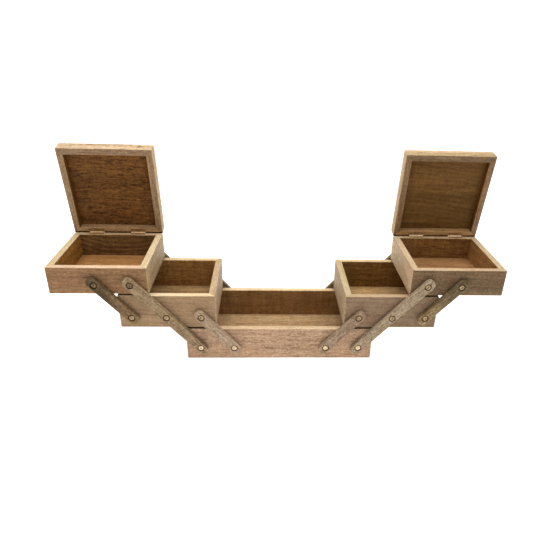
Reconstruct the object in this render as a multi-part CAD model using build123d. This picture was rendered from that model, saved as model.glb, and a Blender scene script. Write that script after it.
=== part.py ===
from build123d import *
import math
import os

# Cantilever sewing carrier in wood: one base tray, two middle trays and two
# lidded top boxes, carried by twelve arms. It is modelled opened out, with
# both lids up. Millimetres, +Z up. The origin is the centre of the base
# tray's underside, +X runs along the length, the front faces -Y.

# ---------------------------------------------------------------- dimensions
base_length = 300.0          # base tray, outer, along X
depth = 150.0                # every tray and lid, outer, along Y
half_length = 148.5          # middle tray, top box and lid, outer, along X
wall = 10.5                  # tray walls and lid rails
base_height = 55.0
middle_height = 55.0
top_height = 43.0
panel_thickness = 5.0        # bottom panels, let into a rebate
rebate = 5.0                 # width of that rebate in each wall

# Arms. All are parallel at any time, so the trays stay level.
arm_rise = 55.0              # height between pivots, opened out
arm_reach = 50.0             # horizontal distance between pivots, opened out
pivot_spacing = 53.0         # between neighbouring arms on one tray
base_pivot_from_end = 23.5   # long arm's pivot, from the base tray's end
base_pivot_z = 24.5          # pivot heights above each tray's underside
middle_pivot_z = 21.0
top_pivot_z = 18.0
arm_width = 16.0
arm_thickness = 8.0
arm_overrun = 12.5           # arm end beyond the pivot centre
arm_edge_outer = 1.6         # rounding of the arm's outer edges
arm_edge_inner = 0.8

# Pivot hardware.
washer_thickness = 1.0
washer_radius = 5.0
arm_standoff = 1.1           # arm's inner face off the tray face
shank_radius = 2.0
arm_hole_radius = 2.08
counterbore_radius = 5.7
counterbore_depth = 2.6
head_radius = 4.3
head_height = 2.1
thread_radius = 1.6
thread_length = 8.6
recess_width = 1.0
recess_span = 4.4
recess_depth = 1.2
head_crown = 1.1             # rounding of the head's upper edge

# Lids: four mitred rails with a panel glued on top.
rail_height = 11.5
lid_panel = 10.0
lid_open_angle = 80.0        # from closed, as modelled
lid_gap = 1.2                # under the closed lid, above the rim
lid_heel_round = 3.0         # lid's lower back edge, which rolls over the rim

# Lid hinges.
hinge_width = 24.0
hinge_from_outer = 38.0      # hinge centre from the lid's outer side
hinge_from_inner = 41.0
pin_inset = 1.9              # pin centre ahead of the box's back face
pin_above = 0.6              # pin centre above the rim
barrel_radius = 1.5
hinge_pin_radius = 0.72
fixed_bore = 0.74
turning_bore = 0.80
leaf_thickness = 0.5
leaf_length = 7.4            # leaf's front edge ahead of the pin centre
knuckle_gap = 0.16
leaf_screw_spacing = 14.0
leaf_screw_y = 4.4           # ahead of the pin centre
leaf_screw_head = 1.7
leaf_screw_shank = 0.8
leaf_screw_length = 7.0
notch_radius = 1.75          # groove for the barrels, in rim and lid
notch_end = 0.6              # groove beyond each end of the barrels

# Edge rounding on the trays and lids.
corner_round = 2.0           # outer vertical corners
rim_round = 1.2              # outer rim edges
inner_round = 0.8            # inner rim edges
foot_round = 0.9             # outer bottom edges
lid_top_round = 1.8          # lid panel's upper edges
seam_chamfer = 0.35          # seam between rails and lid panel

# ------------------------------------------------------------ derived places
arm_length = math.hypot(arm_reach, arm_rise)
arm_lean = math.degrees(math.atan2(arm_reach, arm_rise))
half_depth = depth / 2
x_long_base = base_length / 2 - base_pivot_from_end
z_base_pivot = base_pivot_z
z_middle_pivot = z_base_pivot + arm_rise
z_top_pivot = z_middle_pivot + arm_rise
z_middle = z_middle_pivot - middle_pivot_z
z_top = z_top_pivot - top_pivot_z
shift = 2 * arm_reach                                # per tray, from closed
x_middle = base_length / 2 + shift - half_length / 2     # tray centres
x_top = base_length / 2 + 2 * shift - half_length / 2
x_long_middle = x_long_base + arm_reach
x_long_top = x_long_base + 2 * arm_reach
x_lower_base = x_long_base - pivot_spacing
x_lower_middle = x_long_middle - pivot_spacing
x_upper_middle = x_long_middle + pivot_spacing
x_upper_top = x_long_top + pivot_spacing
rim = z_top + top_height
pin_y = half_depth - pin_inset
pin_z = rim + pin_above
lid_under = rim + lid_gap                            # underside when closed

base_pivots = [x_long_base, x_lower_base]
middle_pivots = [x_long_middle, x_lower_middle, x_upper_middle]
top_pivots = [x_long_top, x_upper_top]

MIN3 = (Align.CENTER, Align.CENTER, Align.MIN)


def y_cylinder(x, z, radius, y_from, y_to):
    """Cylinder along Y between two depths."""
    low, high = min(y_from, y_to), max(y_from, y_to)
    solid = Cylinder(radius, high - low, align=MIN3)
    return Pos(x, low, z) * Rot(-90, 0, 0) * solid


def x_cylinder(x_from, x_to, y, z, radius):
    """Cylinder along X between two stations."""
    solid = Cylinder(radius, x_to - x_from, align=MIN3)
    return Pos(x_from, y, z) * Rot(0, 90, 0) * solid


def mitre(frame, length, width):
    """Cuts a rectangular frame into front, back and two end pieces at 45 degrees."""
    far, near = 20.0, 30.0
    hl, hw = length / 2, width / 2
    tall = 400.0

    def wedge(points):
        face = make_face(Polyline(*points, close=True))
        return Pos(0, 0, -tall / 2) * extrude(face, tall)

    front = wedge([(-hl - far, -hw - far), (hl + far, -hw - far), (hl - near, -hw + near), (-hl + near, -hw + near)])
    back = wedge([(-hl - far, hw + far), (-hl + near, hw - near), (hl - near, hw - near), (hl + far, hw + far)])
    left = wedge([(-hl - far, -hw - far), (-hl + near, -hw + near), (-hl + near, hw - near), (-hl - far, hw + far)])
    right = wedge([(hl + far, -hw - far), (hl + far, hw + far), (hl - near, hw - near), (hl - near, -hw + near)])
    return [(frame & piece).solids()[0] for piece in (front, back, left, right)]


def ring(length, width, height, bottom_edge, top_edge, top_inner, bottom_inner=0.0):
    """Rectangular frame of four walls with its edges eased."""
    block = Box(length, width, height, align=MIN3)
    block = fillet(block.edges().filter_by(Axis.Z), corner_round)
    top = block.faces().sort_by(Axis.Z)[-1]
    if top_edge > 0:
        block = fillet(top.edges(), top_edge)
    else:
        block = chamfer(top.edges(), -top_edge)
    bottom = block.faces().sort_by(Axis.Z)[0]
    block = fillet(bottom.edges(), bottom_edge)
    block -= Box(length - 2 * wall, width - 2 * wall, height, align=MIN3)
    if top_inner > 0:
        inside = (
            block.edges()
            .filter_by_position(Axis.Z, height - 1e-3, height + 1e-3)
            .filter_by_position(Axis.X, -length / 2 + wall - 1e-3, length / 2 - wall + 1e-3)
            .filter_by_position(Axis.Y, -width / 2 + wall - 1e-3, width / 2 - wall + 1e-3)
        )
        block = chamfer(inside, top_inner)
    if bottom_inner > 0:
        inside = (
            block.edges()
            .filter_by_position(Axis.Z, -1e-3, 1e-3)
            .filter_by_position(Axis.X, -length / 2 + wall - 1e-3, length / 2 - wall + 1e-3)
            .filter_by_position(Axis.Y, -width / 2 + wall - 1e-3, width / 2 - wall + 1e-3)
        )
        block = chamfer(inside, bottom_inner)
    return block


def tray(length, height, x, z, pivots, pivot_z, hinge_bores=()):
    """Four mitred walls and a bottom panel, moved to their place.

    Returns front, back, ends and panel. The pivots are absolute X stations.
    """
    block = ring(length, depth, height, foot_round, rim_round, inner_round)
    block -= Box(length - 2 * wall + 2 * rebate, depth - 2 * wall + 2 * rebate, panel_thickness, align=MIN3)
    front, back, left, right = mitre(block, length, depth)
    place = Pos(x, 0, z)
    front, back, left, right = place * front, place * back, place * left, place * right
    for px in pivots:
        front -= y_cylinder(px, z + pivot_z, thread_radius, -half_depth, -half_depth + thread_length)
        back -= y_cylinder(px, z + pivot_z, thread_radius, half_depth, half_depth - thread_length)
    for hx, hy in hinge_bores:
        back -= Pos(hx, hy, z + height) * Cylinder(
            leaf_screw_shank, 2 * (leaf_screw_length - leaf_thickness)
        )
    panel = place * Box(
        length - 2 * wall + 2 * rebate, depth - 2 * wall + 2 * rebate, panel_thickness, align=MIN3
    )
    return front, back, [left, right], panel


def arm(p_low, p_high, pivots, side):
    """One wooden arm in the XZ plane; side is -1 for the front face, +1 for the back.

    The arm is drawn flat with its outer face up, then stood against the tray.
    """
    length = math.dist(p_low, p_high)
    ends = arm_overrun - arm_width / 2
    outline = SlotCenterToCenter(length + 2 * ends, arm_width)
    body = extrude(outline, arm_thickness)
    body = fillet(body.faces().sort_by(Axis.Z)[-1].edges(), arm_edge_outer)
    body = fillet(body.faces().sort_by(Axis.Z)[0].edges(), arm_edge_inner)
    for along in pivots:
        x = along - length / 2
        body -= Pos(x, 0, 0) * Cylinder(arm_hole_radius, arm_thickness, align=MIN3)
        body -= Pos(x, 0, arm_thickness - counterbore_depth) * Cylinder(
            counterbore_radius, counterbore_depth, align=MIN3
        )
    cx, cz = (p_low[0] + p_high[0]) / 2, (p_low[1] + p_high[1]) / 2
    lean = math.degrees(math.atan2(p_high[1] - p_low[1], p_high[0] - p_low[0]))
    offset = half_depth + arm_standoff
    if side < 0:
        # Outer face towards -Y.
        return Pos(cx, -offset, cz) * Rot(90, 0, 0) * Rot(0, 0, lean) * body
    # Outer face towards +Y.
    return Pos(cx, offset, cz) * Rot(-90, 0, 0) * Rot(0, 0, -lean) * body


def pivot_screw(x, z, side):
    """Round-head screw with a cross recess; it is drawn along Z with its head up."""
    neck = arm_standoff + arm_thickness - counterbore_depth + 0.08
    screw = Pos(0, 0, -thread_length + 0.1) * Cylinder(thread_radius, thread_length - 0.1, align=MIN3)
    screw += Cylinder(shank_radius, neck, align=MIN3)
    head = Pos(0, 0, neck) * Cylinder(head_radius, head_height, align=MIN3)
    head = fillet(head.edges().filter_by(GeomType.CIRCLE).sort_by(Axis.Z)[-1], head_crown)
    screw += head
    top = neck + head_height
    for turn in (0, 90):
        screw -= Pos(0, 0, top - recess_depth) * Rot(0, 0, turn + 30) * Box(
            recess_span, recess_width, recess_depth + 1, align=MIN3
        )
    screw = screw.solids()[0]
    if side < 0:
        return Pos(x, -half_depth, z) * Rot(90, 0, 0) * screw
    return Pos(x, half_depth, z) * Rot(-90, 0, 0) * screw


def washer(x, z, side):
    """Flat spacer between arm and tray wall."""
    disc = Cylinder(washer_radius, washer_thickness, align=MIN3)
    disc = fillet(disc.edges(), 0.2)
    disc -= Cylinder(arm_hole_radius, washer_thickness, align=MIN3)
    if side < 0:
        return Pos(x, -half_depth, z) * Rot(90, 0, 0) * disc
    return Pos(x, half_depth, z) * Rot(-90, 0, 0) * disc


def barrel_notch(cx):
    """Round groove that takes one hinge's barrels."""
    reach = hinge_width / 2 + notch_end
    return x_cylinder(cx - reach, cx + reach, pin_y, pin_z, notch_radius)


def heel_cut(length, width):
    """What comes off a lid frame's lower back edge to round it."""
    bar = Pos(0, width / 2 - lid_heel_round, 0) * Box(
        length + 2, lid_heel_round + 1, lid_heel_round, align=(Align.CENTER, Align.MIN, Align.MIN)
    )
    return bar - x_cylinder(
        -length / 2 - 2, length / 2 + 2, width / 2 - lid_heel_round, lid_heel_round, lid_heel_round
    )


def hinge_leaf(cx, fixed):
    """One leaf with its knuckles: the box's (fixed) or the lid's, both with the lid closed."""
    pitch = hinge_width / 5
    x0 = cx - hinge_width / 2
    z_plate = rim if fixed else lid_under - leaf_thickness
    plate = Pos(cx, pin_y - leaf_length, z_plate) * Box(
        hinge_width, leaf_length, leaf_thickness, align=(Align.CENTER, Align.MIN, Align.MIN)
    )
    plate = fillet(
        plate.edges().filter_by(Axis.Z).sort_by(Axis.Y)[:2], 0.8
    )
    mine = (0, 2, 4) if fixed else (1, 3)
    for k in range(5):
        a, b = x0 + k * pitch, x0 + (k + 1) * pitch
        if k in mine:
            a2 = a + (knuckle_gap / 2 if k > 0 else 0)
            b2 = b - (knuckle_gap / 2 if k < 4 else 0)
            plate += x_cylinder(a2, b2, pin_y, pin_z, barrel_radius)
        else:
            a2 = a - (knuckle_gap / 2 if k > 0 else 5)
            b2 = b + (knuckle_gap / 2 if k < 4 else 5)
            plate -= Pos((a2 + b2) / 2, pin_y, pin_z) * Box(b2 - a2, 2 * (barrel_radius + 0.2), 8)
    plate -= x_cylinder(x0 - 1, x0 + hinge_width + 1, pin_y, pin_z, fixed_bore if fixed else turning_bore)
    for s in (-1, 1):
        hole = leaf_screw_solid(cx + s * leaf_screw_spacing / 2, fixed, 0.05)
        plate -= hole
    return plate.solids()[0]


def leaf_screw_solid(x, fixed, extra=0.0):
    """Countersunk screw; the box leaf's points down, the lid leaf's points up."""
    y = pin_y - leaf_screw_y
    cone = Cone(leaf_screw_shank + extra, leaf_screw_head + extra, leaf_thickness, align=MIN3)
    shank = Pos(0, 0, -(leaf_screw_length - leaf_thickness) + 0.1) * Cylinder(
        leaf_screw_shank + extra, leaf_screw_length - leaf_thickness - 0.1, align=MIN3
    )
    screw = cone + shank
    if extra == 0.0:
        screw -= Pos(0, 0, leaf_thickness - 0.3) * Box(2 * leaf_screw_head + 1, 0.5, 1, align=MIN3)
    screw = screw.solids()[0]
    if fixed:
        return Pos(x, y, rim) * screw
    return Pos(x, y, lid_under) * Rot(180, 0, 0) * screw


def hinge_pin(cx):
    """Pin through all five knuckles, its ends slightly domed."""
    pin = x_cylinder(cx - hinge_width / 2 - 0.3, cx + hinge_width / 2 + 0.3, pin_y, pin_z, hinge_pin_radius)
    return fillet(pin.edges().filter_by(GeomType.CIRCLE), 0.25)


def opened(shape):
    """Swings a lid piece from closed to its modelled angle."""
    return shape.rotate(Axis((0, pin_y, pin_z), (-1, 0, 0)), lid_open_angle)


nodes = {}

# ------------------------------------------------------------------ base tray
front, back, ends, panel = tray(
    base_length, base_height, 0, 0, [-x for x in base_pivots] + base_pivots, base_pivot_z
)
nodes["base_front_wall"] = [front]
nodes["base_back_wall"] = [back]
nodes["base_end_walls"] = ends
nodes["base_bottom_panel"] = [panel]
nodes["base_pivot_screws"] = [
    pivot_screw(s * x, z_base_pivot, f) for s in (-1, 1) for x in base_pivots for f in (-1, 1)
]
nodes["base_pivot_washers"] = [
    washer(s * x, z_base_pivot, f) for s in (-1, 1) for x in base_pivots for f in (-1, 1)
]

# ------------------------------------------------- the two sides, mirror pairs
for side, s in (("left", -1), ("right", 1)):
    # Middle tray.
    front, back, ends, panel = tray(
        half_length, middle_height, s * x_middle, z_middle, [s * x for x in middle_pivots], middle_pivot_z
    )
    nodes[f"{side}_middle_front_wall"] = [front]
    nodes[f"{side}_middle_back_wall"] = [back]
    nodes[f"{side}_middle_end_walls"] = ends
    nodes[f"{side}_middle_bottom_panel"] = [panel]

    # Hinge stations and leaf screw places on this side's lid.
    outer_x = x_top + half_length / 2
    hinge_x = [
        s * (outer_x - hinge_from_outer),
        s * (outer_x - half_length + hinge_from_inner),
    ]
    screw_x = [hx + k * leaf_screw_spacing / 2 for hx in hinge_x for k in (-1, 1)]

    # Top box.
    front, back, ends, panel = tray(
        half_length, top_height, s * x_top, z_top, [s * x for x in top_pivots], top_pivot_z,
        [(x, pin_y - leaf_screw_y) for x in screw_x],
    )
    for hx in hinge_x:
        back -= barrel_notch(hx)
    nodes[f"{side}_top_front_wall"] = [front]
    nodes[f"{side}_top_back_wall"] = [back]
    nodes[f"{side}_top_end_walls"] = ends
    nodes[f"{side}_top_bottom_panel"] = [panel]

    # Pivot screws and washers carried by the trays.
    for name, stations, z in (
        ("middle", middle_pivots, z_middle_pivot),
        ("top", top_pivots, z_top_pivot),
    ):
        nodes[f"{side}_{name}_pivot_screws"] = [
            pivot_screw(s * x, z, f) for x in stations for f in (-1, 1)
        ]
        nodes[f"{side}_{name}_pivot_washers"] = [
            washer(s * x, z, f) for x in stations for f in (-1, 1)
        ]

    # Arms, front and back.
    for face, f in (("front", -1), ("back", 1)):
        nodes[f"{side}_{face}_long_arm"] = [
            arm(
                (s * x_long_base, z_base_pivot), (s * x_long_top, z_top_pivot),
                (0, arm_length, 2 * arm_length), f,
            )
        ]
        nodes[f"{side}_{face}_lower_arm"] = [
            arm(
                (s * x_lower_base, z_base_pivot), (s * x_lower_middle, z_middle_pivot),
                (0, arm_length), f,
            )
        ]
        nodes[f"{side}_{face}_upper_arm"] = [
            arm(
                (s * x_upper_middle, z_middle_pivot), (s * x_upper_top, z_top_pivot),
                (0, arm_length), f,
            )
        ]

    # Lid, built closed and then opened.
    rails = ring(half_length, depth, rail_height, 1.0, -seam_chamfer, 0, 0.6)
    rails -= heel_cut(half_length, depth)
    r_front, r_back, r_left, r_right = mitre(rails, half_length, depth)
    place = Pos(s * x_top, 0, lid_under)
    r_back = place * r_back
    for x in screw_x:
        r_back -= Pos(x, pin_y - leaf_screw_y, lid_under) * Cylinder(
            leaf_screw_shank, 2 * (leaf_screw_length - leaf_thickness)
        )
    for hx in hinge_x:
        r_back -= barrel_notch(hx)
    top = Box(half_length, depth, lid_panel, align=MIN3)
    top = fillet(top.edges().filter_by(Axis.Z), corner_round)
    top = fillet(top.faces().sort_by(Axis.Z)[-1].edges(), lid_top_round)
    top = chamfer(top.faces().sort_by(Axis.Z)[0].edges(), seam_chamfer)
    nodes[f"{side}_lid_front_rail"] = [opened(place * r_front)]
    nodes[f"{side}_lid_back_rail"] = [opened(r_back)]
    nodes[f"{side}_lid_side_rails"] = [opened(place * r_left), opened(place * r_right)]
    nodes[f"{side}_lid_panel"] = [opened(Pos(s * x_top, 0, lid_under + rail_height) * top)]

    # Lid hinges.
    nodes[f"{side}_hinge_box_leaves"] = [hinge_leaf(x, True) for x in hinge_x]
    nodes[f"{side}_hinge_lid_leaves"] = [opened(hinge_leaf(x, False)) for x in hinge_x]
    nodes[f"{side}_hinge_pins"] = [hinge_pin(x) for x in hinge_x]
    nodes[f"{side}_hinge_box_screws"] = [leaf_screw_solid(x, True) for x in screw_x]
    nodes[f"{side}_hinge_lid_screws"] = [opened(leaf_screw_solid(x, False)) for x in screw_x]

# --------------------------------------------------------------------- export
os.makedirs("parts", exist_ok=True)
for name, shapes in nodes.items():
    solids = []
    for shape in shapes:
        solids.extend(shape.solids() if hasattr(shape, "solids") else [shape])
    export_step(solids[0] if len(solids) == 1 else Compound(children=solids), f"parts/{name}.step")
    print(name, len(solids), round(sum(x.volume for x in solids), 1))
print("nodes", len(nodes), "arm length", round(arm_length, 3), "lean", round(arm_lean, 3))
print("middle tray z", z_middle, "top box z", z_top, "rim", rim, "pin", pin_y, pin_z)
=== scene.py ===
import math

import bpy
from mathutils import Matrix, Vector

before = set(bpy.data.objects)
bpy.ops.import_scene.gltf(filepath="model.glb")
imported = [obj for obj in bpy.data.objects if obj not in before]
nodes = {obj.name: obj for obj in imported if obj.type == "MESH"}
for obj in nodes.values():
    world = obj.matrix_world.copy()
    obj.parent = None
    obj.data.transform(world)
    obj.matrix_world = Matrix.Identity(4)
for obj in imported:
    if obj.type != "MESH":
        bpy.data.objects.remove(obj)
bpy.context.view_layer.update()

# ---------------------------------------------------------------- sizes, metres
HALF_X = 0.07425      # half the length of a middle tray or a top box
HALF_Y = 0.075
X_MIDDLE = 0.17575
X_TOP = 0.27575
LEAN = math.atan2(0.050, 0.055)          # the arms' lean from upright
OPEN = math.radians(80)                   # the lids' angle from shut
PIN_Y, PIN_Z = 0.0731, 0.1601             # the lid hinges' axis
LID_V = Vector((0, -math.cos(OPEN), math.sin(OPEN)))     # along the lid, away from its hinges
LID_N = Vector((0, math.sin(OPEN), math.cos(OPEN)))      # out of the lid's top face
LID_MID = Vector((0, PIN_Y, PIN_Z)) + LID_V * 0.0731
X, Y, Z = Vector((1, 0, 0)), Vector((0, 1, 0)), Vector((0, 0, 1))


def lin(r, g, b):
    """An sRGB colour, 0 to 255, as a linear one."""
    out = []
    for c in (r, g, b):
        c /= 255.0
        out.append(c / 12.92 if c <= 0.04045 else ((c + 0.055) / 1.055) ** 2.4)
    return (*out, 1.0)


class Tree:
    """Short calls for building a node tree."""

    def __init__(self, tree):
        self.t = tree
        self.n = 0

    def add(self, kind, **props):
        node = self.t.nodes.new(kind)
        node.location = ((self.n % 12) * 190, -(self.n // 12) * 260)
        self.n += 1
        for k, v in props.items():
            setattr(node, k, v)
        return node

    def put(self, socket, value):
        if hasattr(value, "is_output"):
            self.t.links.new(value, socket)
        elif value is not None:
            socket.default_value = value

    def math(self, op, a, b=None, c=None, clamp=False):
        node = self.add("ShaderNodeMath", operation=op, use_clamp=clamp)
        for s, v in zip(node.inputs, (a, b, c)):
            self.put(s, v)
        return node.outputs[0]

    def vec(self, op, a, b=None):
        node = self.add("ShaderNodeVectorMath", operation=op)
        for s, v in zip(node.inputs, (a, b)):
            self.put(s, v)
        return node.outputs["Value" if op in ("DOT_PRODUCT", "LENGTH", "DISTANCE") else "Vector"]

    def join(self, x, y, z):
        node = self.add("ShaderNodeCombineXYZ")
        for s, v in zip(node.inputs, (x, y, z)):
            self.put(s, v)
        return node.outputs[0]

    def parts(self, v):
        node = self.add("ShaderNodeSeparateXYZ")
        self.put(node.inputs[0], v)
        return node.outputs

    def noise(self, v, w, scale=1.0, detail=2.0, rough=0.5, distort=0.0):
        node = self.add("ShaderNodeTexNoise", noise_dimensions="4D")
        self.put(node.inputs["Vector"], v)
        self.put(node.inputs["W"], w)
        self.put(node.inputs["Scale"], scale)
        self.put(node.inputs["Detail"], detail)
        self.put(node.inputs["Roughness"], rough)
        self.put(node.inputs["Distortion"], distort)
        return node.outputs[0]

    def span(self, v, a, b, c=0.0, d=1.0, smooth=False):
        """v from a..b to c..d, clamped."""
        node = self.add("ShaderNodeMapRange", clamp=True,
                        interpolation_type="SMOOTHSTEP" if smooth else "LINEAR")
        for i, x in enumerate((v, a, b, c, d)):
            self.put(node.inputs[i], x)
        return node.outputs[0]

    def mix(self, f, a, b, blend="MIX"):
        node = self.add("ShaderNodeMix", data_type="RGBA", blend_type=blend)
        self.put(node.inputs["Factor"], f)
        self.put([s for s in node.inputs if s.name == "A" and s.type == "RGBA"][0], a)
        self.put([s for s in node.inputs if s.name == "B" and s.type == "RGBA"][0], b)
        return [s for s in node.outputs if s.type == "RGBA"][0]


# ---------------------------------------------------------------- the wood's grain, one shared group
def make_grain():
    """Place is in millimetres with X along the grain. Tone runs from pale (0) to dark (1) wood, Detail multiplies the colour, Height is for bump."""
    g = bpy.data.node_groups.new("wood_grain", "ShaderNodeTree")
    for name, kind in (("Place", "NodeSocketVector"), ("Seed", "NodeSocketFloat"), ("Rings", "NodeSocketFloat"),
                       ("Ripple", "NodeSocketFloat"), ("Streaks", "NodeSocketFloat"), ("Flecks", "NodeSocketFloat"),
                       ("Pith", "NodeSocketVector"), ("Sag", "NodeSocketFloat")):
        g.interface.new_socket(name=name, in_out="INPUT", socket_type=kind)
    for name, kind in (("Tone", "NodeSocketFloat"), ("Detail", "NodeSocketFloat"), ("Height", "NodeSocketFloat"),
                       ("Blotch", "NodeSocketFloat"), ("Pores", "NodeSocketFloat")):
        g.interface.new_socket(name=name, in_out="OUTPUT", socket_type=kind)
    t = Tree(g)
    src = t.add("NodeGroupInput").outputs
    place, seed, rings, ripple, streaks, flecks, pith, sag = (
        src[n] for n in ("Place", "Seed", "Rings", "Ripple", "Streaks", "Flecks", "Pith", "Sag"))
    # the fibres wander a little off straight
    wander = t.noise(t.vec("MULTIPLY", place, (1 / 70, 1 / 40, 1 / 40)), seed, detail=2)
    wander2 = t.noise(t.vec("MULTIPLY", place, (1 / 16, 1 / 9, 1 / 9)), t.math("ADD", seed, 3.7), detail=1)
    push = t.math("ADD", t.math("MULTIPLY", t.math("SUBTRACT", wander, 0.5), 7.0),
                  t.math("MULTIPLY", t.math("SUBTRACT", wander2, 0.5), 0.9))
    bent = t.vec("ADD", place, t.join(0.0, push, t.math("MULTIPLY", push, 0.7)))
    # broad pale and dark bands
    band = t.noise(t.vec("MULTIPLY", bent, (1 / 190, 1 / 12, 1 / 12)), t.math("ADD", seed, 11.0), detail=2.5, rough=0.55)
    # growth rings about a pith that lies off the board and a little across it, so flat faces show long arches
    x, y, z = t.parts(t.vec("ADD", bent, pith))
    lean_y = t.math("ADD", y, t.math("MULTIPLY", x, 0.045))
    lean_y = t.math("ADD", lean_y, t.math("MULTIPLY", t.math("MULTIPLY", x, x), sag))     # the log's sweep
    r = t.math("SQRT", t.math("ADD", t.math("MULTIPLY", lean_y, lean_y), t.math("MULTIPLY", z, z)))
    r = t.math("ADD", r, t.math("MULTIPLY", band, 5.0))
    ring = t.math("ABSOLUTE", t.math("SINE", t.math("MULTIPLY", r, 0.44)))
    ring = t.math("SUBTRACT", 1.0, t.math("POWER", ring, 0.55))      # thin dark late wood
    tone = t.math("ADD", t.span(band, 0.28, 0.72, 0.12, 0.78), t.math("MULTIPLY", t.math("MULTIPLY", ring, rings), 0.75))
    # dark dashes, pale lines, short flecks and fine fibres
    streak = t.noise(t.vec("MULTIPLY", bent, (1 / 13, 1 / 2.1, 1 / 2.1)), t.math("ADD", seed, 23.0), detail=2, rough=0.6)
    streak = t.math("MULTIPLY", t.span(streak, 0.46, 0.68, smooth=True), streaks)
    pale_line = t.noise(t.vec("MULTIPLY", bent, (1 / 34, 1 / 2.8, 1 / 2.8)), t.math("ADD", seed, 27.0), detail=2, rough=0.6)
    pale_line = t.math("MULTIPLY", t.math("SUBTRACT", pale_line, 0.5), t.math("MULTIPLY", t.math("ADD", streaks, flecks), 0.38))
    fleck = t.noise(t.vec("MULTIPLY", bent, (1 / 2.7, 1 / 1.9, 1 / 1.9)), t.math("ADD", seed, 37.0), detail=1, rough=0.5)
    fleck = t.math("MULTIPLY", t.math("SUBTRACT", fleck, 0.5), t.math("MULTIPLY", flecks, 1.25))
    fibre = t.noise(t.vec("MULTIPLY", bent, (1 / 9, 1 / 0.5, 1 / 0.5)), t.math("ADD", seed, 31.0), detail=2, rough=0.6)
    pore = t.noise(t.vec("MULTIPLY", bent, (1 / 4.5, 1 / 0.6, 1 / 0.6)), t.math("ADD", seed, 47.0), detail=1)
    pore = t.span(pore, 0.60, 0.70, smooth=True)
    # ripple across the grain, as in figured boards
    rip = t.noise(t.vec("MULTIPLY", bent, (1 / 5.5, 1 / 26, 1 / 26)), t.math("ADD", seed, 59.0), detail=1.5)
    rip = t.math("MULTIPLY", t.math("SUBTRACT", rip, 0.5), t.math("MULTIPLY", ripple, 0.8))
    blotch = t.noise(t.vec("MULTIPLY", place, (1 / 60, 1 / 26, 1 / 26)), t.math("ADD", seed, 71.0), detail=2.5, rough=0.6)
    detail = t.math("SUBTRACT", 1.08, t.math("MULTIPLY", streak, 0.40))
    detail = t.math("MULTIPLY", detail, t.math("ADD", 1.0, fleck))
    detail = t.math("MULTIPLY", detail, t.math("ADD", 1.0, pale_line))
    detail = t.math("MULTIPLY", detail, t.math("ADD", 0.84, t.math("MULTIPLY", fibre, 0.32)))
    detail = t.math("MULTIPLY", detail, t.math("SUBTRACT", 1.0, t.math("MULTIPLY", pore, 0.30)))
    detail = t.math("MULTIPLY", detail, t.math("ADD", 1.0, rip))
    height = t.math("SUBTRACT", t.math("MULTIPLY", fibre, 0.55), t.math("ADD", t.math("MULTIPLY", pore, 0.9), t.math("MULTIPLY", streak, 0.25)))
    out = t.add("NodeGroupOutput").inputs
    t.put(out["Tone"], t.math("MULTIPLY", tone, 1.0, clamp=True))
    t.put(out["Detail"], detail)
    t.put(out["Height"], height)
    t.put(out["Blotch"], blotch)
    t.put(out["Pores"], pore)
    return g


GRAIN = make_grain()


def geo_normal(t):
    return t.add("ShaderNodeNewGeometry").outputs["Normal"]


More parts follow.
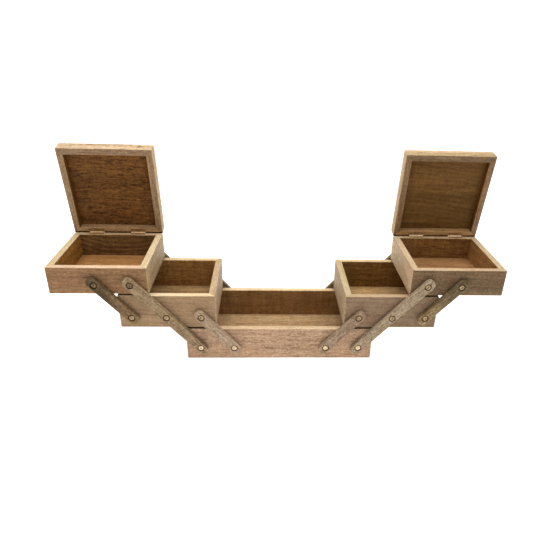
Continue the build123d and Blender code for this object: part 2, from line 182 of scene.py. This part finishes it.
def wood(name, along, across, out, seed, outer, inner=None, rim=None, middle=None, rings=0.5, ripple=0.25, streaks=1.0, flecks=1.0,
         pith=(0.0, 30.0, 55.0), rough=0.62, rim_axes=(), sides=None, edge=0.55, patchy=0.0, crevice_shade=False, calm=0.0,
         joints=None, hinge=None, sag=0.0, gloss=0.22, fade=None):
    """A board's material. along, across and out are its own axes; outer, inner and rim are (pale, dark) colours for its
    outside, the faces that look into the tray, and its rim; a tray's rim tone is paler partly as a painted highlight
    where the top light falls.
    middle is (centre, half sizes) of the tray, which says what is inside. rim_axes are the ways the rim faces.
    patchy darkens a board in places, and the flag after it paints shade on rims and undersides that lie close under
    another board; set to 'bore', it paints shade in the counterbores round the screw heads instead.
    fade is (start, end, factor) in millimetres along the board, which darkens towards the end, and gloss is the sheen,
    which inner faces have less of."""
    m = bpy.data.materials.new(name)
    m.use_nodes = True
    nt = m.node_tree
    nt.nodes.clear()
    t = Tree(nt)
    coord = t.add("ShaderNodeTexCoord")
    p = coord.outputs["Object"]
    local = t.join(*(t.math("MULTIPLY", t.vec("DOT_PRODUCT", p, tuple(a)), 1000.0) for a in (along, across, out)))
    gn = t.add("ShaderNodeGroup", node_tree=GRAIN)
    t.put(gn.inputs["Place"], local)
    for k, v in (("Seed", seed), ("Rings", rings), ("Ripple", ripple), ("Streaks", streaks), ("Flecks", flecks), ("Pith", pith), ("Sag", sag)):
        t.put(gn.inputs[k], v)
    tone, detail, height, blotch = (gn.outputs[k] for k in ("Tone", "Detail", "Height", "Blotch"))
    pale, dark = outer
    if inner or rim or sides:
        nrm = coord.outputs["Normal"]
    if inner:
        (cx, cy, cz), axes, halves = middle
        d = t.vec("SUBTRACT", (cx, cy, cz), p)
        into = None
        for a, h in zip(axes, halves):
            term = t.math("MULTIPLY", t.vec("DOT_PRODUCT", nrm, tuple(a)), t.math("DIVIDE", t.vec("DOT_PRODUCT", d, tuple(a)), h))
            into = term if into is None else t.math("ADD", into, term)
        f = t.span(into, 0.15, 0.65, smooth=True)
        pale = t.mix(f, pale, inner[0])
        dark = t.mix(f, dark, inner[1])
        gloss = t.span(f, 0.0, 1.0, gloss, 0.07)
    if rim:
        f = None
        for a in rim_axes:
            g = t.span(t.vec("DOT_PRODUCT", nrm, tuple(a)), 0.35, 0.85, smooth=True)
            f = g if f is None else t.math("MAXIMUM", f, g)
        pale = t.mix(f, pale, rim[0])
        dark = t.mix(f, dark, rim[1])
        if calm:
            # the rims show less of the grain, as part of their painted highlight
            detail = t.math("ADD", detail, t.math("MULTIPLY", t.math("MULTIPLY", f, calm), t.math("SUBTRACT", 1.0, detail)))
    if sides:
        (cx, cy, cz), axes, halves = middle
        d = t.vec("SUBTRACT", p, (cx, cy, cz))
        away = None
        for a, h in zip(axes, halves):
            term = t.math("MULTIPLY", t.vec("DOT_PRODUCT", nrm, tuple(a)), t.math("DIVIDE", t.vec("DOT_PRODUCT", d, tuple(a)), h))
            away = term if away is None else t.math("ADD", away, term)
        f = t.span(away, 0.35, 0.85, smooth=True)
        pale = t.mix(f, pale, sides[0])
        dark = t.mix(f, dark, sides[1])
    colour = t.mix(tone, pale, dark)
    # slow shifts of colour over the board: some redder, some greyer
    shift = t.span(blotch, 0.30, 0.70)
    colour = t.mix(t.math("MULTIPLY", shift, 0.30), colour, t.mix(1.0, colour, (1.12, 0.94, 0.84, 1.0), "MULTIPLY"))
    colour = t.mix(t.math("MULTIPLY", t.math("SUBTRACT", 1.0, shift), 0.30), colour, t.mix(1.0, colour, (0.88, 0.93, 0.93, 1.0), "MULTIPLY"))
    if patchy:
        dull = t.math("MULTIPLY", t.span(blotch, 0.44, 0.62, smooth=True), patchy)
        colour = t.mix(dull, colour, t.mix(1.0, colour, (0.47, 0.43, 0.37, 1.0), "MULTIPLY"))
    if fade:
        start, end, low = fade
        k = t.span(t.parts(local)[0], start, end, 1.0, low, smooth=True)
        colour = t.mix(1.0, colour, t.join(k, k, k), "MULTIPLY")
    # the dark grain is a little redder than the pale
    grey = t.join(t.math("POWER", detail, 0.90), detail, t.math("POWER", detail, 1.12))
    colour = t.mix(1.0, colour, grey, "MULTIPLY")
    if crevice_shade == "bore":
        # painted shade in the counterbores round the screw heads, found by ambient occlusion
        ao = t.add("ShaderNodeAmbientOcclusion", samples=6)
        ao.inputs["Distance"].default_value = 0.0035
        close = t.span(ao.outputs["AO"], 0.30, 0.72, smooth=True)
        colour = t.mix(close, t.mix(1.0, colour, (0.60, 0.53, 0.45, 1.0), "MULTIPLY"), colour)
        gloss = t.math("MULTIPLY", gloss, close)
    elif crevice_shade:
        # painted shade, near black, on rims and undersides that lie close under the next tray, found by ambient
        # occlusion; upright faces are left alone
        ao = t.add("ShaderNodeAmbientOcclusion", samples=6)
        ao.inputs["Distance"].default_value = 0.009
        close = t.span(ao.outputs["AO"], 0.15, 0.62, smooth=True)
        flatness = t.span(t.math("ABSOLUTE", t.parts(geo_normal(t))[2]), 0.30, 0.75, smooth=True)
        close = t.math("MAXIMUM", close, t.math("SUBTRACT", 1.0, flatness))
        colour = t.mix(close, t.mix(1.0, colour, (0.16, 0.13, 0.11, 1.0), "MULTIPLY"), colour)
        gloss = t.math("MULTIPLY", gloss, close)
    if hinge == "box":
        # the strip of rim behind the hinge line never sees light
        c = t.math("MULTIPLY", t.span(t.parts(p)[1], PIN_Y - 0.0006, PIN_Y + 0.0001),
                   t.span(t.parts(geo_normal(t))[2], 0.5, 0.8))
        colour = t.mix(c, colour, t.mix(1.0, colour, (0.17, 0.12, 0.08, 1.0), "MULTIPLY"))
        gloss = t.math("MULTIPLY", gloss, t.math("SUBTRACT", 1.0, c))
    if hinge == "lid":
        # painted shade on the lid's heel beside the hinge line, where it stands close over the rim
        d = t.vec("SUBTRACT", p, (0.0, PIN_Y, PIN_Z))
        c = t.math("MULTIPLY", t.span(t.vec("DOT_PRODUCT", d, tuple(LID_V)), 0.0014, 0.0024, 1.0, 0.0),
                   t.span(t.vec("DOT_PRODUCT", d, tuple(LID_N)), 0.0030, 0.0050, 1.0, 0.0))
        colour = t.mix(c, colour, t.mix(1.0, colour, (0.17, 0.12, 0.08, 1.0), "MULTIPLY"))
        gloss = t.math("MULTIPLY", gloss, t.math("SUBTRACT", 1.0, c))
    if joints:
        # a hair line where the mitred rails meet
        (cx, cy, cz), axes, halves = joints
        d = t.vec("SUBTRACT", p, (cx, cy, cz))
        a, b = (t.math("SUBTRACT", h, t.math("ABSOLUTE", t.vec("DOT_PRODUCT", d, tuple(ax)))) for ax, h in zip(axes, halves))
        line = t.span(t.math("ABSOLUTE", t.math("SUBTRACT", a, b)), 0.00015, 0.0007, 1.0, 0.0)
        colour = t.mix(t.math("MULTIPLY", line, 0.6), colour, t.mix(1.0, colour, (0.40, 0.36, 0.32, 1.0), "MULTIPLY"))
    # eased edges are paler, partly rubbed wear and partly a painted highlight where their rounding catches the light
    bev = t.add("ShaderNodeBevel", samples=4)
    t.put(bev.inputs["Radius"], 0.0011)
    geo = t.add("ShaderNodeNewGeometry")
    wear_and_highlight = t.math("SUBTRACT", 1.0, t.vec("DOT_PRODUCT", bev.outputs[0], geo.outputs["Normal"]))
    wear_and_highlight = t.math("MULTIPLY", t.span(wear_and_highlight, 0.02, 0.28, smooth=True), t.span(blotch, 0.25, 0.75, 0.55, 1.0))
    colour = t.mix(t.math("MULTIPLY", wear_and_highlight, edge), colour, t.mix(1.0, colour, (1.42, 1.40, 1.36, 1.0), "MULTIPLY"))
    bsdf = t.add("ShaderNodeBsdfPrincipled")
    t.put(bsdf.inputs["Base Color"], colour)
    t.put(bsdf.inputs["Roughness"], t.math("ADD", rough, t.math("MULTIPLY", height, 0.10)))
    t.put(bsdf.inputs["Specular IOR Level"], gloss)
    bump = t.add("ShaderNodeBump")
    bump.inputs["Strength"].default_value = 0.35
    bump.inputs["Distance"].default_value = 0.00018
    t.put(bump.inputs["Height"], height)
    t.put(bsdf.inputs["Normal"], bump.outputs[0])
    out_node = t.add("ShaderNodeOutputMaterial")
    t.put(out_node.inputs["Surface"], bsdf.outputs[0])
    return m


def brass(name, colour, worn_colour, rough, seed, leaf=None):
    """Brass with fine rolling or turning marks, darker dull patches and rubbed edges. leaf is the darker tone of a
    hinge away from its barrel, partly a duller finish and partly painted shade.
    """
    m = bpy.data.materials.new(name)
    m.use_nodes = True
    nt = m.node_tree
    nt.nodes.clear()
    t = Tree(nt)
    p = t.add("ShaderNodeTexCoord").outputs["Object"]
    mm = t.vec("MULTIPLY", p, (1000.0,) * 3)
    marks = t.noise(t.vec("MULTIPLY", mm, (0.35, 3.0, 6.0)), seed, detail=3, rough=0.6)
    patch = t.noise(t.vec("MULTIPLY", mm, (0.28, 0.28, 0.28)), seed + 5.0, detail=3, rough=0.6)
    fine = t.noise(t.vec("MULTIPLY", mm, (2.2, 2.2, 2.2)), seed + 9.0, detail=2)
    f = t.span(t.math("ADD", t.math("MULTIPLY", patch, 0.75), t.math("MULTIPLY", fine, 0.25)), 0.40, 0.66, smooth=True)
    col = t.mix(f, colour, worn_colour)
    # a hinge's leaf takes its darker tone, partly a duller finish and partly painted shade
    if leaf:
        far = t.vec("DISTANCE", t.vec("MULTIPLY", p, (0.0, 1.0, 1.0)), (0.0, PIN_Y, PIN_Z))
        col = t.mix(t.span(far, 0.0019, 0.0024), col, leaf)
    bev = t.add("ShaderNodeBevel", samples=4)
    t.put(bev.inputs["Radius"], 0.0004)
    geo = t.add("ShaderNodeNewGeometry")
    edge = t.span(t.math("SUBTRACT", 1.0, t.vec("DOT_PRODUCT", bev.outputs[0], geo.outputs["Normal"])), 0.03, 0.3)
    col = t.mix(t.math("MULTIPLY", edge, 0.6), col, (1.0, 0.86, 0.60, 1.0))
    bsdf = t.add("ShaderNodeBsdfPrincipled")
    t.put(bsdf.inputs["Base Color"], col)
    bsdf.inputs["Metallic"].default_value = 1.0
    t.put(bsdf.inputs["Roughness"], t.math("ADD", t.math("ADD", rough - 0.08, t.math("MULTIPLY", marks, 0.16)), t.math("MULTIPLY", f, 0.14)))
    bump = t.add("ShaderNodeBump")
    bump.inputs["Strength"].default_value = 0.25
    bump.inputs["Distance"].default_value = 0.00006
    t.put(bump.inputs["Height"], marks)
    t.put(bsdf.inputs["Normal"], bump.outputs[0])
    t.put(t.add("ShaderNodeOutputMaterial").inputs["Surface"], bsdf.outputs[0])
    return m


def paint(node, material):
    ob = nodes[node]
    for s in ob.material_slots:
        s.link = "DATA"
    if not ob.data.materials:
        ob.data.materials.append(material)
    for i in range(len(ob.data.materials)):
        ob.data.materials[i] = material


# ---------------------------------------------------------------- colours
# the outer tones darken from the base up to the top boxes, partly painted shade for the light that falls off with
# height; the rim tone's paleness is partly a painted highlight where the top light falls
TONES = {
    "outer_base": (lin(190, 159, 130), lin(155, 123, 94)),
    "outer_mid": (lin(172, 143, 110), lin(137, 108, 79)),
    "outer_top": (lin(154, 121, 87), lin(118, 89, 60)),
    "outer_end": (lin(195, 174, 143), lin(158, 134, 104)),
    "inner_base": (lin(172, 137, 84), lin(124, 92, 52)),
    "inner_mid": (lin(160, 127, 76), lin(112, 82, 42)),
    "inner_top": (lin(148, 120, 74), lin(102, 78, 44)),
    "rim": (lin(238, 213, 172), lin(212, 178, 132)),
    "floor_base": (lin(188, 157, 115), lin(154, 121, 82)),
    "floor_mid": (lin(164, 138, 98), lin(133, 105, 69)),
    "floor_top": (lin(178, 133, 84), lin(142, 99, 59)),
    "lid_in": (lin(121, 80, 36), lin(79, 48, 18)),
    "rail": (lin(166, 137, 104), lin(131, 102, 73)),
    "lid_edge": (lin(200, 176, 142), lin(180, 151, 115)),
    "arm": (lin(175, 151, 120), lin(130, 106, 78)),
}
# boards that are paler, darker or redder than their fellows, by their outer faces, inner faces and sawn edges: partly
# the wood's own tone and partly painted light and shade, so the right half, lit less, is darker than the left
SHADE = {
    "left_middle_front_wall": (0.879, 0.880, 0.868),
    "right_middle_front_wall": (0.630, 0.641, 0.690),
    "left_top_front_wall": (0.971, 0.912, 0.864),
    "right_top_front_wall": (0.581, 0.611, 0.611),
    "left_middle_end_walls": (0.870, 0.830, 0.820),
    "right_middle_end_walls": (0.890, 0.870, 0.830),
    "left_top_end_walls": (0.848, 0.822, 0.739),
    "right_top_end_walls": (1.120, 1.070, 1.050),
    "base_bottom_panel": (1.042, 1.063, 1.097),
    "right_middle_bottom_panel": (1.408, 1.355, 1.275),
    "right_top_bottom_panel": (0.899, 0.943, 0.971),
    "left_lid_back_rail": (1.306, 1.240, 1.114),
    "right_lid_back_rail": (1.361, 1.274, 0.974),
    "right_lid_front_rail": (0.570, 0.565, 0.540),
    "right_lid_side_rails": (0.680, 0.627, 0.555),
    "left_lid_side_rails": (0.937, 0.975, 0.946),
    "left_lid_panel": (1.090, 1.180, 1.495),
    "right_lid_panel": (0.992, 1.218, 1.601),
    "left_front_long_arm": (0.786, 0.790, 0.771),
    "left_front_upper_arm": (0.717, 0.664, 0.564),
    "left_front_lower_arm": (1.006, 1.034, 1.187),
    "right_front_long_arm": (0.972, 1.087, 1.262),
    "right_front_lower_arm": (0.847, 0.843, 0.960),
    "right_front_upper_arm": (0.909, 0.924, 0.815),
    "base_front_wall": (0.892, 0.884, 0.894),
    "left_top_bottom_panel": (1.053, 1.026, 0.928),
    "left_middle_bottom_panel": (1.037, 0.973, 0.955),
    "left_lid_front_rail": (0.920, 0.973, 1.073),
}
SHADE_IN = {
    "left_middle_back_wall": (1.369, 1.233, 1.214),
    "right_middle_back_wall": (0.875, 0.787, 0.658),
    "left_top_back_wall": (0.988, 0.904, 0.903),
    "right_top_back_wall": (0.977, 0.786, 0.638),
    "left_top_end_walls": (1.392, 1.137, 0.782),
    "right_top_end_walls": (1.430, 1.200, 1.140),
    "base_back_wall": (0.905, 0.857, 0.927),
}
SHADE_EDGE = {
    "base_front_wall": (0.856, 0.868, 0.946),
    "left_top_front_wall": (0.959, 0.953, 1.112),
    "left_lid_front_rail": (1.086, 1.128, 1.192),
    "right_lid_front_rail": (0.765, 0.780, 0.690),
    "left_lid_side_rails": (0.820, 0.830, 0.850),
    "right_lid_side_rails": (0.770, 0.780, 0.790),
    "left_middle_front_wall": (1.009, 1.101, 1.221),
    "left_top_end_walls": (0.830, 0.900, 0.960),
    "right_top_end_walls": (0.710, 0.750, 0.820),
    "right_top_front_wall": (0.710, 0.710, 0.760),
    "left_middle_end_walls": (0.680, 0.660, 0.670),
    "right_middle_end_walls": (0.680, 0.730, 0.740),
    "right_middle_front_wall": (0.660, 0.640, 0.660),
    "left_top_back_wall": (0.860, 0.860, 0.870),
    "right_top_back_wall": (0.800, 0.800, 0.820),
}
# the back arms are darker and greyer: painted shade
SHADE_BACK = {f"{side}_back_{arm}_arm": (0.62, 0.66, 0.58) for side in ("left", "right") for arm in ("long", "lower", "upper")}
# how strongly each front is figured
FIGURE = {"base": (0.95, 1.15), "left_middle": (0.45, 0.6), "right_middle": (0.6, 0.8), "left_top": (0.85, 0.9), "right_top": (0.6, 1.2)}

# and each lid panel
PANEL = {"left": dict(rings=0.3, ripple=0.7, streaks=1.7, flecks=1.6),
         "right": dict(rings=0.42, ripple=0.5, streaks=0.5, flecks=0.8, pith=(-235.0, 24.0, 40.0), sag=0.0009)}

UPPER_FADE = (212.0, 282.0, 0.40)         # the short upper arms are darker towards their top pivots

FLAT_AXES = (X, Y)
seed = 1.0


def own(name, table=SHADE):
    return table.get(name, (1.0, 1.0, 1.0))


def tint(tones, by):
    return tuple((*(c * k for c, k in zip(tone[:3], by)), 1.0) for tone in tones)


trays = {"base": ((0.0, 0.0, 0.0), (0.150, HALF_Y), "base")}
for side, s in (("left", -1), ("right", 1)):
    trays[side + "_middle"] = ((s * X_MIDDLE, 0.0, 0.0), (HALF_X, HALF_Y), "mid")
    trays[side + "_top"] = ((s * X_TOP, 0.0, 0.0), (HALF_X, HALF_Y), "top")

for tray, (mid, halves, level) in trays.items():
    inside = (mid, FLAT_AXES, halves)
    for part, along, across, out in (("front_wall", X, Z, Y), ("back_wall", X, Z, Y), ("end_walls", Y, Z, X)):
        seed += 7.31
        name = f"{tray}_{part}"
        streaks, flecks = FIGURE[tray] if part == "front_wall" else (0.7, 1.2)
        figure = dict(rings=0.45, ripple=0.4)
        if part == "back_wall":
            figure = dict(rings=0.35, pith=(0.0, 14.0, 26.0), ripple=1.1 if tray == "base" else 1.0)
            streaks, flecks = (0.45, 0.9) if tray == "base" else (1.0, 1.2)
            if tray == "left_top":
                figure.update(rings=1.3, pith=(X_TOP * 1000, 14.0, 26.0), sag=-0.0026)
        paint(name, wood(name + "_wood", along, across, out, seed,
                         tint(TONES["outer_end" if part == "end_walls" else "outer_" + level], own(name)),
                         tint(TONES["inner_" + level], own(name, SHADE_IN)), tint(TONES["rim"], own(name, SHADE_EDGE)),
                         middle=inside, rim_axes=(Z,), streaks=streaks, flecks=flecks, crevice_shade=True, calm=0.45,
                         hinge="box" if name.endswith("top_back_wall") else None, **figure))
    seed += 7.31
    name = f"{tray}_bottom_panel"
    paint(name, wood(name + "_wood", X, Y, Z, seed, tint(TONES["floor_" + level], own(name)), rings=0.4,
                     flecks=0.7 if level == "top" else 1.0, streaks=0.8 if level == "top" else 1.0))

for side, s in (("left", -1), ("right", 1)):
    mid = (s * X_TOP, LID_MID.y, LID_MID.z)
    inside = (mid, (X, LID_V), (HALF_X, HALF_Y))
    for part, along, across in (("front_rail", X, LID_V), ("back_rail", X, LID_V), ("side_rails", LID_V, X)):
        seed += 7.31
        name = f"{side}_lid_{part}"
        # the sawn edges all round are paler, partly as a painted highlight where they face the light, but not the faces
        # round the recess
        paint(name, wood(name + "_wood", along, across, LID_N, seed, tint(TONES["rail"], own(name)),
                         TONES["lid_in"] if part == "side_rails" else None, middle=inside,
                         sides=tint(TONES["lid_edge"], own(name, SHADE_EDGE)), streaks=0.9,
                         joints=inside, hinge="lid"))
    seed += 7.31
    name = f"{side}_lid_panel"
    paint(name, wood(name + "_wood", X, LID_V, LID_N, seed, TONES["rail"], rim=tint(TONES["lid_in"], own(name)), rim_axes=(-LID_N,),
                     middle=inside, sides=TONES["lid_edge"], gloss=0.07, **PANEL[side]))
    lean = Vector((s * math.sin(LEAN), 0, math.cos(LEAN)))
    flat = Vector((math.cos(LEAN), 0, -s * math.sin(LEAN)))
    for face in ("front", "back"):
        for arm in ("long", "lower", "upper"):
            seed += 7.31
            name = f"{side}_{face}_{arm}_arm"
            paint(name, wood(name + "_wood", lean, flat, Y, seed, tint(TONES["arm"], own(name, SHADE if face == "front" else SHADE_BACK)), rings=0.25,
                             streaks=0.9, flecks=1.7, edge=1.7, patchy=0.55 if arm == "upper" else 0.30, crevice_shade="bore", gloss=0.13,
                             fade=UPPER_FADE if arm == "upper" else None))

# the same brass screw heads in three tones by how the light falls on them: palest on the base, darker on the middle
# trays and the right top box, darkest, as painted shade, on the left top box
SCREWS = {"base": brass("screw_brass_base", lin(212, 190, 158), lin(170, 146, 112), 0.42, 3.0),
          "middle": brass("screw_brass_middle", lin(160, 138, 108), lin(118, 96, 68), 0.46, 4.0),
          "top": brass("screw_brass_top", lin(114, 95, 70), lin(80, 64, 44), 0.50, 5.0)}
# the washers' dark tone is painted shade for the narrow gaps they sit in
WASHER = brass("washer_brass", lin(104, 84, 52), lin(70, 54, 32), 0.48, 13.0)
# the barrels' near-white brass is partly a painted highlight, and the leaves' darker tone partly painted shade
HINGE = {"left": brass("hinge_brass_left", lin(232, 204, 160), lin(204, 172, 126), 0.55, 23.0, leaf=lin(158, 126, 88)),
         "right": brass("hinge_brass_right", lin(248, 228, 196), lin(218, 190, 150), 0.55, 29.0, leaf=lin(164, 132, 94))}
for name in nodes:
    if "pivot_screws" in name:
        paint(name, SCREWS["base" if "base" in name else "middle" if "middle" in name or name.startswith("right") else "top"])
    elif "washers" in name:
        paint(name, WASHER)
    elif "hinge" in name:
        paint(name, HINGE[name.split("_")[0]])

# ---------------------------------------------------------------- studio
SKY, FLOOR_GLOW, POOL, TOP_POWER = 0.38, 0.80, 0.12, 18.0
world = bpy.data.worlds.new("studio")
bpy.context.scene.world = world
world.use_nodes = True
wt = Tree(world.node_tree)
back = world.node_tree.nodes["Background"]
# white paper all round up to a little above the horizon, a dim ceiling over it
rise = wt.parts(wt.vec("NORMALIZE", wt.add("ShaderNodeTexCoord").outputs["Generated"]))[2]
wt.put(back.inputs["Strength"], wt.span(rise, 0.08, 0.55, 1.04, SKY, smooth=True))
back.inputs["Color"].default_value = (1.0, 0.995, 0.985, 1.0)

bpy.ops.mesh.primitive_plane_add(size=14, location=(0, 3, 0))
floor = bpy.context.object
floor.name = "studio_floor"
fm = bpy.data.materials.new("studio_floor_paper")
fm.use_nodes = True
fb = fm.node_tree.nodes["Principled BSDF"]
fb.inputs["Base Color"].default_value = (0.86, 0.855, 0.845, 1.0)
fb.inputs["Roughness"].default_value = 0.9
fb.inputs["Specular IOR Level"].default_value = 0.1
fb.inputs["Emission Color"].default_value = (1.0, 0.995, 0.985, 1.0)
ft = Tree(fm.node_tree)
# the floor glows, evenly further off and brighter in a pool just in front of the box, lighting the fronts from below
away = ft.vec("DISTANCE", ft.add("ShaderNodeTexCoord").outputs["Object"], (0.0, -3.22, 0.0))
ft.put(fb.inputs["Emission Strength"], ft.span(away, 0.1, 0.95, FLOOR_GLOW + POOL, FLOOR_GLOW, smooth=True))
floor.data.materials.append(fm)


def softbox(name, at, aim, size_x, size_y, power, colour=(1, 1, 1)):
    d = bpy.data.lights.new(name, "AREA")
    d.shape = "RECTANGLE"
    d.size, d.size_y = size_x, size_y
    d.energy = power
    d.color = colour
    o = bpy.data.objects.new(name, d)
    bpy.context.scene.collection.objects.link(o)
    o.location = at
    o.rotation_mode = "QUATERNION"
    o.rotation_quaternion = (Vector(aim) - Vector(at)).to_track_quat("-Z", "Y")
    return o


softbox("top_light", (0, -0.02, 1.30), (0, 0.02, 0.1), 1.7, 0.7, TOP_POWER, (1.0, 0.985, 0.955))

# ---------------------------------------------------------------- camera
FOCAL, PX, PY = 538.1, 295.5, 311.3          # in pixels of the 554 x 554 frame
PITCH = math.radians(26) + 0.0440
ROLL, YAW = 0.0339, -0.0638
WIDTH = 554.0
head = Vector((-math.sin(YAW), math.cos(YAW), 0))
right = Vector((math.cos(YAW), math.sin(YAW), 0))
forward = math.cos(PITCH) * head - math.sin(PITCH) * Z
up = math.sin(PITCH) * head + math.cos(PITCH) * Z
right, up = right * math.cos(ROLL) + up * math.sin(ROLL), up * math.cos(ROLL) - right * math.sin(ROLL)
cam = bpy.data.objects.new("camera", bpy.data.cameras.new("camera"))
bpy.context.scene.collection.objects.link(cam)
cam.data.sensor_width = 36.0
cam.data.lens = 36.0 * FOCAL / WIDTH
cam.data.shift_x = -(PX - WIDTH / 2) / WIDTH
cam.data.shift_y = (PY - WIDTH / 2) / WIDTH
cam.data.clip_start, cam.data.clip_end = 0.02, 60
m = Matrix((right, up, -forward)).transposed().to_4x4()
m.translation = Vector((-0.02403, -0.74289 - HALF_Y, 0.49204))
cam.matrix_world = m
bpy.context.scene.camera = cam
bpy.context.scene.view_settings.view_transform = "Standard"
